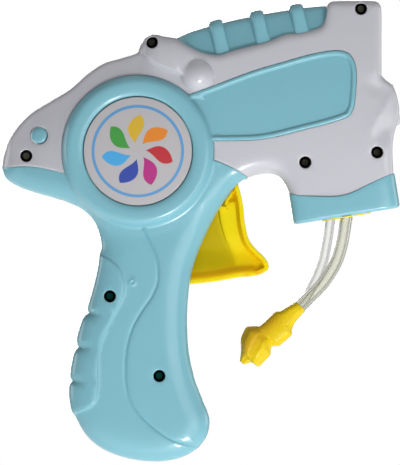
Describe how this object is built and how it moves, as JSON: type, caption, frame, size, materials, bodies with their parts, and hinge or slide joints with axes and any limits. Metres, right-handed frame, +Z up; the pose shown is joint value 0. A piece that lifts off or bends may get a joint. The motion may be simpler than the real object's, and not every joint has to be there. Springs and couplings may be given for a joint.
{
  "type": "bubble blower",
  "caption": "Pistol-shaped hand-pumped bubble blower: trigger-driven gears spin a fan and a roller pump behind a muzzle, with a bottle collar and hanging tubes.",
  "frame": {"origin": "middle of the hand grip, in the plane where the two halves meet", "axes": "+X towards the muzzle, +Z up, -Y towards the side that shows the screw heads"},
  "size_m": [0.1715, 0.0464, 0.1976],
  "materials": {
    "white_plastic": "moulded, glossy",
    "teal_plastic": "moulded, glossy",
    "yellow_plastic": "moulded, glossy",
    "label_card": "printed film",
    "clear_tube": "clear soft vinyl",
    "inner_plastic": "moulded",
    "gear_plastic": "moulded",
    "steel": "plated"
  },
  "bodies": {
    "housing": {"body_shell_left": "white_plastic", "body_shell_right": "white_plastic", "grip_shell_left": "teal_plastic", "grip_shell_right": "teal_plastic", "side_label_left": "label_card", "side_label_right": "label_card", "eye_cap_left": "teal_plastic", "eye_cap_right": "teal_plastic", "top_rail": "teal_plastic", "bottle_collar": "teal_plastic", "tube_plug": "yellow_plastic", "suction_tube": "clear_tube", "return_tube": "clear_tube", "filter_body": "yellow_plastic", "filter_cap": "yellow_plastic", "case_screw_1": "steel", "case_screw_2": "steel", "case_screw_3": "steel", "case_screw_4": "steel", "case_screw_5": "steel", "case_screw_6": "steel", "case_screw_7": "steel", "trigger_pin": "steel", "trigger_spring": "steel", "first_gear_pin": "steel", "second_gear_pin": "steel", "left_gear_plate": "inner_plastic", "right_gear_plate": "inner_plastic", "fan_scroll": "inner_plastic", "air_duct": "inner_plastic", "pump_track": "inner_plastic", "feed_tube": "clear_tube", "drain_tube": "clear_tube", "bubble_nozzle": "yellow_plastic", "drip_tray": "inner_plastic"},
    "trigger": {"trigger": "yellow_plastic"},
    "first_gear": {"first_gear": "gear_plastic"},
    "second_gear": {"second_gear": "gear_plastic"},
    "roller_1": {"pump_roller_1": "gear_plastic"},
    "roller_2": {"pump_roller_2": "gear_plastic"},
    "roller_3": {"pump_roller_3": "gear_plastic"},
    "drive_pinion": {"drive_pinion": "gear_plastic"},
    "fan": {"fan_shaft": "steel", "flywheel": "steel", "fan_impeller": "inner_plastic", "one_way_sleeve": "steel"}
  },
  "joints": [
    {"name": "trigger_hinge", "type": "hinge", "parent": "housing", "child": "trigger", "pos_m": [0.037, 0, 0.0731], "axis": [0, 1, 0], "range_deg": [0, 14], "stiffness_Nm_per_rad": 0.4, "springref_deg": -20.05, "deforming": ["trigger_spring"]},
    {"name": "first_gear_spin", "type": "hinge", "parent": "housing", "child": "first_gear", "pos_m": [0.02409, 0, 0.09153], "axis": [0, 1, 0], "range_deg": [-57, 1]},
    {"name": "second_gear_spin", "type": "hinge", "parent": "housing", "child": "second_gear", "pos_m": [0.00715, 0, 0.09762], "axis": [0, 1, 0], "range_deg": [-1, 169]},
    {"name": "drive_pinion_spin", "type": "hinge", "parent": "housing", "child": "drive_pinion", "pos_m": [0, 0, 0.0811], "axis": [0, 1, 0], "range_deg": [-505, 1]},
    {"name": "roller_1_spin", "type": "hinge", "parent": "second_gear", "child": "roller_1", "pos_m": [0.01298, -0.0085, 0.09974], "axis": [0, 1, 0], "range_deg": [-642, 1]},
    {"name": "roller_2_spin", "type": "hinge", "parent": "second_gear", "child": "roller_2", "pos_m": [0.0024, -0.0085, 0.1016], "axis": [0, 1, 0], "range_deg": [-642, 1]},
    {"name": "roller_3_spin", "type": "hinge", "parent": "second_gear", "child": "roller_3", "pos_m": [0.00609, -0.0085, 0.09151], "axis": [0, 1, 0], "range_deg": [-642, 1]},
    {"name": "fan_spin", "type": "hinge", "parent": "housing", "child": "fan", "pos_m": [0, 0, 0.0811], "axis": [0, 1, 0], "continuous": true}
  ],
  "couplings": [
    {"joint": "first_gear_spin", "follows": "trigger_hinge", "ratio": -4},
    {"joint": "second_gear_spin", "follows": "trigger_hinge", "ratio": 12},
    {"joint": "drive_pinion_spin", "follows": "trigger_hinge", "ratio": -36},
    {"joint": "roller_1_spin", "follows": "trigger_hinge", "ratio": -45.818},
    {"joint": "roller_2_spin", "follows": "trigger_hinge", "ratio": -45.818},
    {"joint": "roller_3_spin", "follows": "trigger_hinge", "ratio": -45.818}
  ]
}
